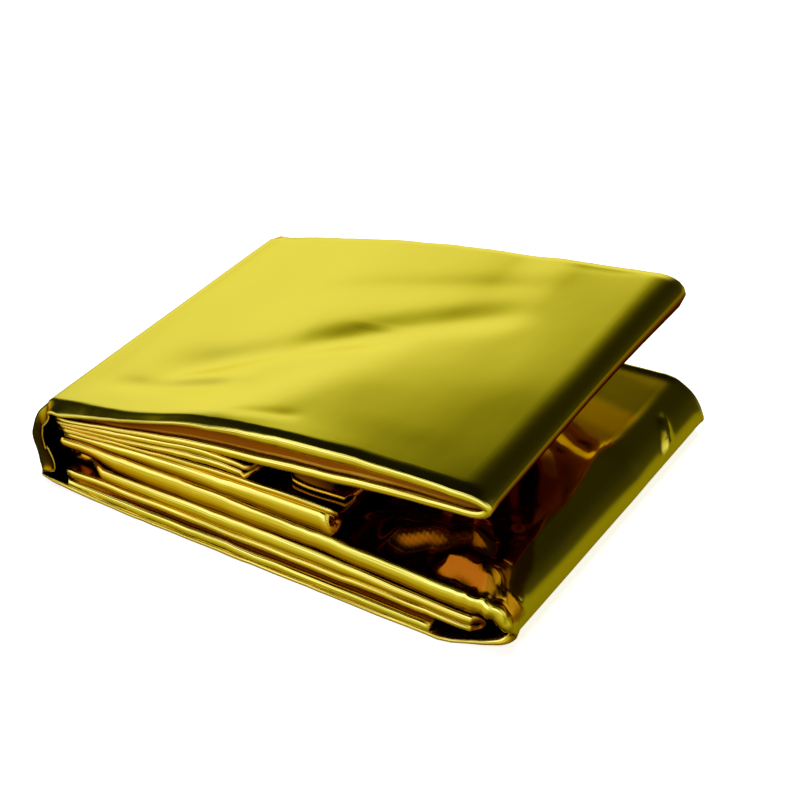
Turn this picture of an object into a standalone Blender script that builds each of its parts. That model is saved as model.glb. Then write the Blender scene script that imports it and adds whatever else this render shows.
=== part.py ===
"""An emergency foil blanket, folded flat into a packet whose top flap stands half open.

The blanket is one rectangle of metallised film. It is pleated lengthwise into a strip of many plies, and the
strip is folded back and forth into eleven layers. The solid is that strip as a sheet of one thickness: it starts
at a free end inside the packet, runs through two short tongues and the raised flap, wraps the whole spine, lies
along the ground, rolls up into the thick fold at the mouth, and ends between the lowest layers.

Millimetres in the tables, metres in the mesh. X runs from the spine to the mouth of the packet, Y from its near
side to its far side, and Z is up. The origin is the middle of the footprint, on the ground.
"""

import math
from collections import namedtuple

import bmesh
import bpy

MM = 0.001

# The strip
SHEET = 1.2                  # thickness of the pleated strip
PACKET_WIDTH = 92.4          # across the strip, near edge to far edge, at the spine
ACROSS = 11                  # faces across the strip
LAYER_STEP = 8.0             # longest face along a layer
ARC_STEPS = 5                # faces round a plain fold
BEND_STEPS = 10              # faces round the spine wrap and round the thick fold

# Where the heights and edges of the layers are given, measured from the spine
STATIONS = (6.0, 25.0, 45.0, 70.0, 95.0, 114.0)

# One row for each layer, in the order in which the strip runs through them. It is laid from x_from to x_to.
# Heights are those of its middle surface along the near side at the stations. near and far are how far its two
# edges are set in (+) or stand out (-) from the packet's width, at the spine and at the mouth. stack is 1 for
# the lower stack, and 0 for the flap and the tongues under it.
Layer = namedtuple("Layer", "name x_from x_to heights near_spine near_mouth far_spine far_mouth stack")
LAYERS = (
    Layer("lower tongue, under", 9.0, 76.0, (12.4, 15.5, 16.0, 17.6, 18.4, 18.4), 1.6, 0.9, 1.0, 0.2, 0),
    Layer("lower tongue, over", 76.0, 6.5, (14.5, 17.5, 18.1, 20.2, 21.4, 21.4), 0.8, 0.9, 0.6, 0.2, 0),
    Layer("upper tongue, under", 6.5, 80.0, (16.5, 20.3, 22.0, 23.6, 24.5, 24.5), 1.3, 3.8, 0.4, 3.6, 0),
    Layer("upper tongue, over", 80.0, 6.0, (18.5, 22.4, 24.9, 26.0, 26.7, 26.7), 0.9, 3.8, 0.4, 3.6, 0),
    Layer("flap, under", 6.0, 112.4, (20.5, 24.3, 27.0, 31.5, 34.8, 36.1), 0.5, 0.8, 0.3, -0.2, 0),
    Layer("flap, over", 112.4, 4.0, (23.4, 27.2, 33.4, 37.8, 39.9, 40.8), 0.0, 0.2, 0.0, -0.4, 0),
    Layer("base", 4.0, 110.0, (0.6, 0.6, 0.6, 0.6, 0.6, 0.6), -0.2, 0.2, 0.0, -6.8, 1),
    Layer("stack, top", 110.0, 7.0, (10.2, 13.5, 14.1, 13.7, 12.7, 11.9), 0.9, 0.6, 0.2, -7.4, 1),
    Layer("stack, second", 7.0, 111.0, (8.0, 8.8, 8.7, 8.3, 7.1, 6.0), 1.4, 1.5, 0.5, -4.8, 1),
    Layer("stack, third", 111.0, 7.5, (5.6, 5.4, 5.1, 5.1, 4.8, 4.0), 0.9, 1.5, 0.8, -5.4, 1),
    Layer("stack, fourth", 7.5, 102.0, (3.4, 2.8, 2.6, 2.7, 2.6, 2.5), 1.2, 0.4, 1.2, -3.2, 1),
)
FAR_EDGE_BEND = 2.5          # the far edges swing out mostly near the mouth

# How far each plain fold reaches past the ends of the two layers that it joins. The wrap of the spine and the
# thick fold have outlines of their own, in X and Z.
FOLD_REACH = (1.4, 1.2, 1.3, 1.2, 2.4, None, None, 1.4, 1.3, 1.2)
SPINE_WRAP = ((0.0, 21.3), (-2.0, 17.2), (-2.9, 12.6), (-2.5, 8.0), (-2.0, 3.7), (0.0, 1.3))
THICK_FOLD = ((115.4, 1.2), (119.2, 3.3), (120.2, 6.2), (118.4, 9.5), (114.6, 11.4))
BENDS = {"flap, over": SPINE_WRAP, "base": THICK_FOLD}

# Heights along the far side as shares of those along the near side: the packet is lower there near the spine,
# the flap stands higher there at its tip, and the lower stack is pressed flatter
FLAP_FAR_HEIGHTS = (0.955, 0.965, 0.965, 0.99, 1.02, 1.052)
STACK_FAR_HEIGHTS = (0.955, 0.965, 0.965, 0.96, 0.94, 0.97)
FLAP_CLEAR = 85.0            # past this the flap has nothing between it and the lower stack
FLAP_SHORTER = 1.6           # how much less far the flap reaches along its far side

# The near corner of the thick fold is pushed in, and its far corner is rounded and stands out a little
MOUTH = 120.2
NEAR_CORNER_START = 103.0
NEAR_CORNER_DEPTH = 5.6
FAR_CORNER_START = 112.0
FAR_CORNER_DEPTH = 1.8
FAR_CORNER_REACH = 0.8

GOLD = (0.80, 0.56, 0.07, 1.0)

# A point of the strip's section, with what its layer says of it
Point = namedtuple("Point", "x z near far stack")


def smooth(value):
    """Return value held between 0 and 1, eased at both ends."""
    value = min(max(value, 0.0), 1.0)
    return value * value * (3.0 - 2.0 * value)


def blend(start, end, share):
    """Return the value that lies a share of the way from start to end."""
    return start + (end - start) * share


def curve_through(before, start, end, after, share):
    """Return a point on the smooth curve between start and end, whose neighbours are before and after."""
    return 0.5 * (
        2 * start
        + (end - before) * share
        + (2 * before - 5 * start + 4 * end - after) * share**2
        + (3 * start - before - 3 * end + after) * share**3
    )


def at_station(row, x):
    """Return the value at x of a row that is given at the stations, on a smooth curve through them."""
    last = len(STATIONS) - 1
    x = min(max(x, STATIONS[0]), STATIONS[last])
    i = min(max(k for k in range(last + 1) if STATIONS[k] <= x), last - 1)
    share = (x - STATIONS[i]) / (STATIONS[i + 1] - STATIONS[i])
    return curve_through(row[max(i - 1, 0)], row[i], row[i + 1], row[min(i + 2, last)], share)


def lay_layer(layer):
    """Return the points along one layer, from its first end to its last."""
    count = math.ceil(abs(layer.x_to - layer.x_from) / LAYER_STEP)
    points = []
    for i in range(count + 1):
        x = blend(layer.x_from, layer.x_to, i / count)
        share = x / STATIONS[-1]
        near = blend(layer.near_spine, layer.near_mouth, share)
        far = blend(layer.far_spine, layer.far_mouth, share**FAR_EDGE_BEND)
        points.append(Point(x, at_station(layer.heights, x), near, far, layer.stack))
    return points


def lay_fold(before, after, reach):
    """Return the points of a plain fold between two layers' ends, as half an ellipse that stands out by reach."""
    outward = 1.0 if before.x > STATIONS[2] else -1.0
    points = []
    for i in range(1, ARC_STEPS):
        share = i / ARC_STEPS
        turn = math.pi * share
        x = blend(before.x, after.x, share) + outward * reach * math.sin(turn)
        z = blend(after.z, before.z, (1.0 + math.cos(turn)) / 2)
        edges = [blend(before[n], after[n], share) for n in (2, 3, 4)]
        points.append(Point(x, z, *edges))
    return points


def lay_bend(before, after, outline):
    """Return the points of a wide bend, on a smooth curve from a layer's end through an outline to the next."""
    knots = [(before.x, before.z), *outline, (after.x, after.z)]
    knots = [knots[0], *knots, knots[-1]]
    spans = len(knots) - 3
    points = []
    for i in range(1, BEND_STEPS):
        share = i / BEND_STEPS
        k = int(share * spans)
        x, z = (curve_through(*(knot[n] for knot in knots[k:k + 4]), share * spans - k) for n in (0, 1))
        edges = [blend(before[n], after[n], share) for n in (2, 3, 4)]
        points.append(Point(x, z, *edges))
    return points


def lay_strip():
    """Return the points along the whole strip."""
    strip = lay_layer(LAYERS[0])
    for before, layer, reach in zip(LAYERS, LAYERS[1:], FOLD_REACH):
        points = lay_layer(layer)
        if before.name in BENDS:
            strip += lay_bend(strip[-1], points[0], BENDS[before.name])
        else:
            strip += lay_fold(strip[-1], points[0], reach)
        strip += points
    return strip


def place(point, across):
    """Return the place in metres of a point of the section, at a share across the strip from its near edge."""
    near_corner = smooth((point.x - NEAR_CORNER_START) / (MOUTH - NEAR_CORNER_START)) * point.stack
    far_corner = max((point.x - FAR_CORNER_START) / (MOUTH - FAR_CORNER_START), 0.0) ** 2 * point.stack
    near = point.near + NEAR_CORNER_DEPTH * near_corner
    far = point.far + FAR_CORNER_DEPTH * far_corner
    tip = smooth((point.x - FLAP_CLEAR) / (STATIONS[-1] - FLAP_CLEAR)) * (1 - point.stack)
    x = point.x + (FAR_CORNER_REACH * far_corner - FLAP_SHORTER * tip) * across
    y = blend(near, PACKET_WIDTH - far, across)
    flap_lift = at_station(FLAP_FAR_HEIGHTS, point.x)
    stack_lift = at_station(STACK_FAR_HEIGHTS, point.x)
    lift = blend(1.0, blend(flap_lift, stack_lift, point.stack), across)
    z = SHEET / 2 + (point.z - SHEET / 2) * lift
    return (x * MM, y * MM, z * MM)


def foil(name, colour, roughness):
    """Return a metallic material."""
    material = bpy.data.materials.new(name)
    material.use_nodes = True
    shader = material.node_tree.nodes["Principled BSDF"]
    shader.inputs["Base Color"].default_value = colour
    shader.inputs["Metallic"].default_value = 1.0
    shader.inputs["Roughness"].default_value = roughness
    return material


def sheet_mesh(name, strip):
    """Return a mesh of one surface: a grid whose columns are laid on the points of the strip."""
    bm = bmesh.new()
    bmesh.ops.create_grid(bm, x_segments=len(strip) - 1, y_segments=ACROSS, size=0.5)
    for vert in bm.verts:
        along = round((vert.co.x + 0.5) * (len(strip) - 1))
        vert.co = place(strip[along], vert.co.y + 0.5)
    bmesh.ops.recalc_face_normals(bm, faces=bm.faces)
    mesh = bpy.data.meshes.new(name)
    bm.to_mesh(mesh)
    bm.free()
    return mesh


def centre_footprint(piece):
    """Move the piece so that the middle of its footprint is at the origin."""
    solid = piece.evaluated_get(bpy.context.evaluated_depsgraph_get())
    for axis in (0, 1):
        places = [vert.co[axis] for vert in solid.data.vertices]
        piece.location[axis] = -(min(places) + max(places)) / 2


def build_blanket():
    """Build the folded sheet with its thickness."""
    blanket = bpy.data.objects.new("blanket", sheet_mesh("blanket", lay_strip()))
    bpy.context.collection.objects.link(blanket)
    blanket.data.materials.append(foil("gold_film", GOLD, 0.2))
    thickness = blanket.modifiers.new("thickness", "SOLIDIFY")
    thickness.thickness = SHEET * MM
    thickness.offset = 0.0
    thickness.use_even_offset = True
    blanket.data.shade_smooth()
    blanket.data.set_sharp_from_angle(angle=math.radians(40.0))
    centre_footprint(blanket)


for old in list(bpy.data.objects):
    bpy.data.objects.remove(old, do_unlink=True)
build_blanket()
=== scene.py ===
"""Looks of a folded emergency foil blanket: gold metallised film in a packet whose top flap stands half open.

Sizes are millimetres until a vertex is placed, and metres in the meshes. X runs from the folded spine to the
open mouth, Y from the near edges to the far ones, and Z is up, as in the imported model.
"""

import logging
import math
from collections.abc import Callable
from dataclasses import dataclass, field, replace
from enum import Enum

import bmesh
import bpy
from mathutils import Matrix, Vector, noise

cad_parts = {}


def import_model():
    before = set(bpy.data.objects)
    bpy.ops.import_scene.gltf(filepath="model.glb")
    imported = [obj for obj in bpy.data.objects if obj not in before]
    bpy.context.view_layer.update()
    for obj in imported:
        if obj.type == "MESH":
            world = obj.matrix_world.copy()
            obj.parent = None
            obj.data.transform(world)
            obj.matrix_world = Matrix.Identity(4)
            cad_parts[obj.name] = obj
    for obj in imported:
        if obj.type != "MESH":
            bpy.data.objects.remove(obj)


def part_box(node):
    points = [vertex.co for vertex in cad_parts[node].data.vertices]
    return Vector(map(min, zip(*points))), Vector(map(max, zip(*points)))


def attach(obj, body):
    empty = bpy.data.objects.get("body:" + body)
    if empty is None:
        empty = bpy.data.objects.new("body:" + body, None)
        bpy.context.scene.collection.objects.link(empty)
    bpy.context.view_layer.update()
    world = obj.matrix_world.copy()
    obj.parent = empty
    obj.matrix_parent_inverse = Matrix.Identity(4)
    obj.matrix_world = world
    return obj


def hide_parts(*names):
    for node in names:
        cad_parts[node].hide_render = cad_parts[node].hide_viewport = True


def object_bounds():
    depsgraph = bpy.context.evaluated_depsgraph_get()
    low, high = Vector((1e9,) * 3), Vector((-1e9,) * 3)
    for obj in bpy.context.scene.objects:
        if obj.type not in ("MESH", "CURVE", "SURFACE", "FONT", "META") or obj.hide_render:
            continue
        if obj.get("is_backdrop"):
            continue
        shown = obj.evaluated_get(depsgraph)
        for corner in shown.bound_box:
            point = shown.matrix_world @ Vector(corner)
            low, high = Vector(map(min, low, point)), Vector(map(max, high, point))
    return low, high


LOG = logging.getLogger("foil_blanket")
MM = 0.001
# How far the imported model's spine and near edge lie outside the strip's own zero.
SPINE_REACH = 3.5
NEAR_GAP = 0.2
# The turns of the outer and inner face of the film, in degrees.
OUTSIDE, INSIDE = 90.0, -90.0
# The painted share at which film is fully painted brown shade, and the one below which a layer's outer face
# is gold.
FULL_PAINTED_SHADE = 2.0
GOLD_BELOW = 0.5
# The ways in which the facets of crumpled film slope, with the share of each, and the sum of the shares.
FACETS = (((1.0, 0.35, 0.2), 1.0), ((-0.45, 1.0, 0.3), 0.8), ((0.3, -0.6, 1.0), 0.6))
FACET_TOTAL = 2.4
# How far the facets drift from even rows, and over how many cells.
FACET_DRIFT = (0.6, 2.3)


class Zone(Enum):
    """The stretches of the strip, from its free end inside the packet to the one in the lower stack."""

    LOWER_TONGUE_UNDER = "lower tongue, under"
    LOWER_TONGUE_OVER = "lower tongue, over"
    UPPER_TONGUE_UNDER = "upper tongue, under"
    UPPER_TONGUE_OVER = "upper tongue, over"
    FLAP_UNDER = "flap, under"
    FLAP_OVER = "flap, over"
    SPINE = "spine wrap"
    BASE = "base"
    THICK_FOLD = "thick fold"
    STACK_TOP = "stack, top"
    STACK_SECOND = "stack, second"
    STACK_THIRD = "stack, third"
    STACK_FOURTH = "stack, fourth"
    FOLD = "plain fold"


MOUTH = (Zone.STACK_TOP, Zone.THICK_FOLD)


def smooth(value: float) -> float:
    """Return value held between 0 and 1, eased at both ends."""
    value = min(max(value, 0.0), 1.0)
    return value * value * (3.0 - 2.0 * value)


def ease(value: float, start: float, end: float) -> float:
    """Return 0 where value is at start and 1 where it is at end, eased, and held past them."""
    return smooth((value - start) / (end - start))


def blend(start: float, end: float, share: float) -> float:
    """Return the value that lies a share of the way from start to end."""
    return start + (end - start) * share


def curve_through(before: float, start: float, end: float, after: float, share: float) -> float:
    """Return a point on the smooth curve between two values.

    Args:
        before: The value before start.
        start: The value at a share of 0.
        end: The value at a share of 1.
        after: The value after end.
        share: How far along the curve, from 0 to 1.

    Returns:
        The value on the curve.
    """
    return 0.5 * (
        2 * start
        + (end - before) * share
        + (2 * before - 5 * start + 4 * end - after) * share**2
        + (3 * start - before - 3 * end + after) * share**3
    )


@dataclass(frozen=True)
class Row:
    """Values given at stations along a line, read as a smooth curve through them."""

    values: tuple[float, ...]
    stations: tuple[float, ...] = (6.0, 25.0, 45.0, 70.0, 95.0, 114.0)

    def slope(self, i: int) -> float:
        """Return the slope of the curve at a station."""
        before, after = max(i - 1, 0), min(i + 1, len(self.values) - 1)
        return (self.values[after] - self.values[before]) / (self.stations[after] - self.stations[before])

    def at(self, place: float) -> float:
        """Return the value at a place, held to the first and last station.

        Args:
            place: The place along the line.

        Returns:
            The value.
        """
        last = len(self.stations) - 1
        place = min(max(place, self.stations[0]), self.stations[last])
        i = min(max(k for k in range(last + 1) if self.stations[k] <= place), last - 1)
        length = self.stations[i + 1] - self.stations[i]
        t = (place - self.stations[i]) / length
        eased = t * t * (3.0 - 2.0 * t)
        bend = (self.slope(i) * t * (1.0 - t) ** 2 - self.slope(i + 1) * t * t * (1.0 - t)) * length
        return blend(self.values[i], self.values[i + 1], eased) + bend


ENDS = (0.0, 114.0)
TONGUE_STATIONS = (6.0, 25.0, 55.5, 57.0, 58.4, 60.0, 65.0, 66.4, 82.0)
TONGUE_OVER_STATIONS = (6.0, 25.0, 56.0, 57.5, 58.9, 60.0, 65.0, 66.4, 82.0)
FLAP_STATIONS = (4.0, 25.0, 45.0, 70.0, 95.0, 114.0)
BASE_STATIONS = (4.0, 11.0, 18.0, 114.0)
FLAT = Row((0.0, 0.0), ENDS)


@dataclass(frozen=True)
class Layer:
    """One run of the strip between two folds.

    Heights are those of its middle surface along the near side. near and far say how far its two edges are
    set in from the packet's width, and stack is 1 in the lower stack and 0 above it. Its edges are rolled:
    roll_top and roll_low are the heights of the roll on the near side, reach is how far the roll goes in, bow
    how fast it flattens out there, and crest the angle at which its turn ends. The outer face is the one
    outside the packet; web_out and web_in are the heights of the recessed pleat on each face just behind the
    roll. step is the distance between its stops. Its painted shares set the painted warm reflection on its
    faces, its rolled edges and their undersides; a share above 1 deepens into painted brown shade.
    """

    zone: Zone
    x_from: float
    x_to: float
    heights: Row
    near: Row
    far: Row
    stack: float
    roll_top: Row
    roll_low: Row
    reach: Row = Row((3.5, 3.5), ENDS)
    bow: float = 2.0
    crest: float = 90.0
    web_out: Row = FLAT
    web_in: Row = FLAT
    step: float = 2.6
    painted_reflection: float = 1.0
    roll_painted_shade: Row = Row((0.25, 0.25), ENDS)
    underside_painted_shade: float = 0.75


@dataclass(frozen=True)
class Stop:
    """A point of the strip's section, with what the layers say of it there."""

    zone: Zone
    x: float
    z: float
    near: float
    far: float
    stack: float
    out: float
    inside: float
    reach: float
    bow: float
    crest: float
    web_out: float
    web_in: float
    painted_reflection: float
    roll_painted_shade: float
    underside_painted_shade: float
    run: float = 0.0
    normal: tuple[float, float] = (0.0, 1.0)

    def toward(self, other: "Stop", share: float, zone: Zone, x: float, z: float) -> "Stop":
        """Return a stop at x and z whose other values lie a share of the way to another stop.

        Args:
            other: The stop to blend to.
            share: How far to blend, from 0 to 1.
            zone: The zone of the new stop.
            x: Its place along X.
            z: Its height.

        Returns:
            The new stop.
        """
        mixed = {
            name: blend(getattr(self, name), getattr(other, name), share)
            for name in ("near", "far", "stack", "out", "inside", "reach", "bow", "crest", "web_out",
                         "web_in", "painted_reflection", "roll_painted_shade", "underside_painted_shade")
        }
        return Stop(zone=zone, x=x, z=z, **mixed)


@dataclass(frozen=True)
class Spot:
    """A place round the strip's cross-section.

    turn is OUTSIDE on the outer face, INSIDE on the inner one, and between them round a rim. inset is the
    distance from the end of the rim's turn, and middle is 0 at the near edge and 1 at the far one.
    """

    turn: float
    inset: float
    middle: float


@dataclass(frozen=True)
class Ripple:
    """An uneven wave along the strip, with bumps about a cell long."""

    height: float
    cell: float
    seed: float

    def at(self, run: float) -> float:
        """Return the height of the wave at a run along the strip."""
        return self.height * noise.noise(Vector((run / self.cell, self.seed, 0.0)))


@dataclass(frozen=True)
class Patch:
    """A stretch of the film, by pairs of places along X and Y at which it starts and at which it is whole."""

    along: tuple[tuple[float, float], ...]
    across: tuple[tuple[float, float], ...]

    def share(self, x: float, y: float) -> float:
        """Return how far a place lies inside the patch.

        Args:
            x: The place along X.
            y: The place along Y.

        Returns:
            The share, from 0 to 1.
        """
        share = 1.0
        for pair in self.along:
            share *= ease(x, *pair)
        for pair in self.across:
            share *= ease(y, *pair)
        return share


@dataclass(frozen=True)
class Crease:
    """A trough (depth above 0) or ridge (below 0) that runs along a path in the film.

    near and far are its widths on the side toward the near edge and on the other side.
    """

    path: tuple[tuple[float, float], ...]
    near: float
    far: float
    depth: float
    sharp: bool = False

    def lift(self, x: float, y: float) -> float:
        """Return how far the crease moves the film out at a place; it fades at both ends of its path.

        Args:
            x: The place along X.
            y: The place along Y.

        Returns:
            The distance, in millimetres.
        """
        closest, above, run, total = math.inf, True, 0.0, 0.0
        for (ax, ay), (bx, by) in zip(self.path, self.path[1:]):
            dx, dy = bx - ax, by - ay
            length = math.hypot(dx, dy)
            share = min(max(((x - ax) * dx + (y - ay) * dy) / length**2, 0.0), 1.0)
            off = math.hypot(x - ax - dx * share, y - ay - dy * share)
            if off < closest:
                closest, above, run = off, dx * (y - ay) > dy * (x - ax), total + share * length
            total += length
        off = closest / (self.far if above else self.near)
        shape = max(1.0 - off, 0.0) if self.sharp else math.exp(-off * off)
        return -self.depth * shape * smooth(4.0 * run / total) * smooth(4.0 * (1.0 - run / total))


@dataclass
class FoldedStrip:
    """The pleated strip of film, folded back and forth into the packet.

    A pair whose name ends in _ease holds the place at which an effect starts and the one where it is whole.
    """

    width: float = 92.4
    half_sheet: float = 0.6
    edge_zone: float = 6.0
    edge_insets: tuple[float, ...] = (0.0, 0.35, 0.7, 1.1, 1.6, 2.2, 2.9, 3.8, 4.8)
    outer_across: int = 72
    across_bias: float = 1.35
    inner_across: int = 14
    rim_steps: int = 8
    arc_steps: int = 10
    bend_steps: int = 36
    mouth: float = 120.2
    near_corner: tuple[float, float] = (103.0, 5.6)
    far_corner: tuple[float, float] = (112.0, 1.8)
    far_corner_reach: float = 2.3
    flap_clear: float = 85.0
    flap_shorter: float = 1.3
    spine_skew: float = 0.9
    spine_skew_ease: tuple[float, float] = (16.0, 4.0)
    far_edge_bend: float = 2.5
    flap_far_heights: Row = Row((0.965, 0.982, 0.951, 0.959, 0.988, 1.044))
    stack_far_heights: Row = Row((0.955, 0.965, 0.965, 0.97, 0.97, 0.965))
    far_roll: float = 0.35
    open_end_roll: float = 0.15
    flat_below: float = 0.45
    rim_depth: float = 0.8
    rim_thickness: float = 1.4
    edge_ripples: tuple[Ripple, ...] = (Ripple(0.25, 9.0, 0.0), Ripple(0.12, 2.5, 5.0))
    roll_ripples: tuple[Ripple, ...] = (Ripple(0.13, 8.0, 9.0), Ripple(0.05, 2.6, 15.0))
    swell_inside: float = 0.6
    web_ease: tuple[float, float] = (0.5, 1.2)
    web_end: float = 2.5
    web_height: float = 0.3
    # Painted shade: the pleat behind a roll is painted brown as well as made dull.
    shaded_dull_web: float = 5.0
    cross_bow: float = 1.8
    # Painted shade: roll shares paint rolled edges warm, and brown at the tongues' ends and the spine's
    # pocket.
    layers: tuple[Layer, ...] = (
        Layer(Zone.LOWER_TONGUE_UNDER, 6.8, 77.5, Row((12.4, 15.5, 16.0, 17.6, 18.4, 18.4)),
              Row((1.2, 0.9), ENDS), Row((1.0, 0.2), ENDS), 0.0,
              Row((16.3, 18.7, 20.1, 21.4, 21.6, 21.6)), Row((15.3, 15.9, 16.0, 16.0, 16.0, 16.0)),
              roll_painted_shade=Row((0.1, 0.15), ENDS), underside_painted_shade=1.3),
        Layer(Zone.LOWER_TONGUE_OVER, 77.5, 5.2, Row((14.5, 17.5, 18.1, 20.2, 21.4, 21.4)),
              Row((0.9, 1.0), ENDS), Row((0.6, 0.2), ENDS), 0.0,
              Row((17.6, 19.9, 22.1, 23.3, 23.5, 23.5)), Row((16.5, 18.8, 20.6, 22.0, 22.2, 22.2)),
              roll_painted_shade=Row((0.4, 0.05), ENDS)),
        Layer(Zone.UPPER_TONGUE_UNDER, 5.2, 80.0, Row((16.5, 20.3, 22.0, 23.6, 24.5, 24.5)),
              Row((1.3, 1.0, 1.2, 1.2, 9.0, 9.0, 9.0, 3.4, 3.4), TONGUE_STATIONS),
              Row((0.4, 3.6), ENDS), 0.0,
              Row((18.3, 21.2, 24.3, 24.1, 24.2, 24.2)), Row((17.4, 20.0, 22.5, 23.3, 23.4, 23.4)), step=1.4,
              roll_painted_shade=Row((0.35, 0.35, 1.8, 1.8), (6.0, 56.0, 57.5, 82.0))),
        Layer(Zone.UPPER_TONGUE_OVER, 80.0, 4.6, Row((18.5, 22.4, 24.9, 26.0, 26.7, 26.7)),
              Row((0.9, 0.9, 1.0, 1.0, 9.0, 9.0, 9.0, 3.2, 3.2), TONGUE_OVER_STATIONS),
              Row((0.4, 3.6), ENDS), 0.0,
              Row((19.3, 22.9, 26.4, 26.0, 26.2, 26.2)), Row((18.5, 21.2, 24.7, 25.3, 25.6, 25.6)), step=1.4,
              web_out=Row((0.0, 0.0, 1.5, 1.5, 0.0), (6.0, 62.0, 67.0, 72.0, 77.0)),
              roll_painted_shade=Row((0.3, 0.25, 1.8, 1.8, 1.0, 1.0), (6.0, 56.0, 57.5, 64.0, 67.0, 82.0))),
        Layer(Zone.FLAP_UNDER, 4.6, 109.5, Row((20.5, 24.3, 27.0, 31.5, 34.8, 36.0)),
              Row((0.5, 0.8), ENDS), Row((0.3, -0.2), ENDS), 0.0,
              Row((20.3, 24.4, 28.4, 31.9, 35.2, 36.6)), Row((19.5, 23.1, 26.4, 29.5, 33.0, 35.0)),
              web_in=Row((0.1, 1.3, 4.3, 3.2, 2.5, 1.9)), roll_painted_shade=Row((0.3, 0.0), ENDS)),
        Layer(Zone.FLAP_OVER, 109.5, 4.0, Row((22.9, 27.8, 34.0, 38.5, 40.35, 40.9), FLAP_STATIONS),
              Row((0.0, 0.2), ENDS), Row((0.0, -0.4), ENDS), 0.0,
              Row((22.1, 27.5, 33.6, 38.3, 40.3, 40.75)), Row((21.3, 26.7, 32.5, 35.4, 38.0, 38.7)),
              reach=Row((3.0, 2.0, 1.75, 1.75, 2.1, 2.5)), bow=1.2, crest=55.0, step=1.4, painted_reflection=0.0,
              roll_painted_shade=FLAT, underside_painted_shade=0.8),
        Layer(Zone.BASE, 4.0, 110.0, Row((0.6, 0.6), ENDS),
              Row((0.4, 0.5), ENDS), Row((0.0, -6.8), ENDS), 1.0,
              Row((2.0, 1.5, 1.1, 1.05), BASE_STATIONS), Row((0.9, 0.45, 0.12, 0.12), BASE_STATIONS),
              crest=70.0, step=3.0, painted_reflection=0.1, roll_painted_shade=Row((0.15, 0.15), ENDS)),
        Layer(Zone.STACK_TOP, 110.0, 5.6, Row((10.2, 13.5, 14.1, 13.7, 12.9, 12.2)),
              Row((0.9, 0.6), ENDS), Row((0.2, -7.4), ENDS), 1.0,
              Row((14.9, 15.4, 15.8, 15.7, 15.3, 14.6)),
              Row((12.6, 12.3, 10.6, 10.4, 11.2, 10.6, 9.8), (6.0, 14.0, 22.0, 45.0, 70.0, 95.0, 114.0)),
              step=0.9, roll_painted_shade=Row((0.35, 0.3, 0.0, 0.0), (0.0, 40.0, 80.0, 114.0)), underside_painted_shade=1.35),
        Layer(Zone.STACK_SECOND, 5.6, 111.0, Row((8.0, 8.8, 8.7, 8.3, 7.1, 6.0)),
              Row((4.6, 4.2, 1.4, 1.3), (6.0, 11.0, 15.5, 114.0)), Row((0.5, -4.8), ENDS), 1.0,
              Row((8.8, 9.7, 10.3, 10.2, 9.3, 8.4)), Row((6.6, 6.5, 6.6, 6.6, 6.6, 6.0)),
              roll_painted_shade=Row((1.5, 1.4, 0.3, 0.1), (6.0, 11.0, 17.0, 114.0))),
        Layer(Zone.STACK_THIRD, 111.0, 6.0, Row((5.6, 5.4, 5.1, 5.1, 4.8, 4.0)),
              Row((0.9, 1.3), ENDS), Row((0.8, -5.4), ENDS), 1.0,
              Row((6.2, 6.4, 6.5, 6.5, 6.5, 5.8)), Row((4.4, 4.6, 4.7, 4.7, 4.9, 4.4)),
              roll_painted_shade=Row((0.2, 0.1), ENDS)),
        Layer(Zone.STACK_FOURTH, 6.0, 102.0, Row((3.4, 2.8, 2.6, 2.7, 2.6, 2.5)),
              Row((1.0, 0.4), ENDS), Row((1.2, -3.2), ENDS), 1.0,
              Row((2.9, 3.1, 3.2, 3.3, 3.4, 3.2)), Row((1.15, 1.15), ENDS),
              web_in=Row((0.5, 0.5), ENDS), roll_painted_shade=Row((0.1, 0.2), ENDS), underside_painted_shade=0.1),
    )
    corner_shares: dict[Zone, float] = field(default_factory=lambda: {
        Zone.BASE: 1.0, Zone.THICK_FOLD: 1.0, Zone.STACK_TOP: 0.35,
    })
    corner_share_within: float = 0.15
    corner_crumple: float = 0.9
    corner_cells: tuple[float, float] = (3.6, 3.4)
    corner_patch: Patch = Patch(((106.0, 113.0),), ((14.0, 6.0),))
    corner_ease: tuple[float, float] = (3.0, 6.0)
    fold_corner_ease: tuple[float, float] = (3.0, 11.0)
    mouth_crumple: float = 1.5
    mouth_cell: float = 9.0
    mouth_seed: float = 20.0
    mouth_patch: Patch = Patch(((85.0, 93.0), (112.0, 108.0)), ((2.0, 6.0), (34.0, 24.0)))
    mouth_floor: float = 8.0
    flap_crumple: float = 0.4
    flap_cell: float = 24.0
    flap_seed: float = 50.0
    flap_crease_ease: tuple[float, float] = (4.0, 9.0)
    crease_ease: tuple[float, float] = (1.0, 5.0)
    wave: float = 0.10
    wave_cells: tuple[float, float, float] = (26.0, 30.0, 40.0)
    wave_shift: float = 3.7
    lip: float = 0.3
    lip_width: float = 0.8
    lip_ease: tuple[float, float] = (72.0, 64.0)
    mouth_past_ease: tuple[float, float] = (1.0, -1.5)
    mouth_height_ease: tuple[float, float] = (7.0, 10.0)
    fold_reach: tuple[float, ...] = (0.6, 1.2, 1.3, 1.2, 5.8, 0.0, 0.0, 1.4, 1.3, 1.2)
    fold_inset: float = 2.4
    fold_shrink: float = 0.7
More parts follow.
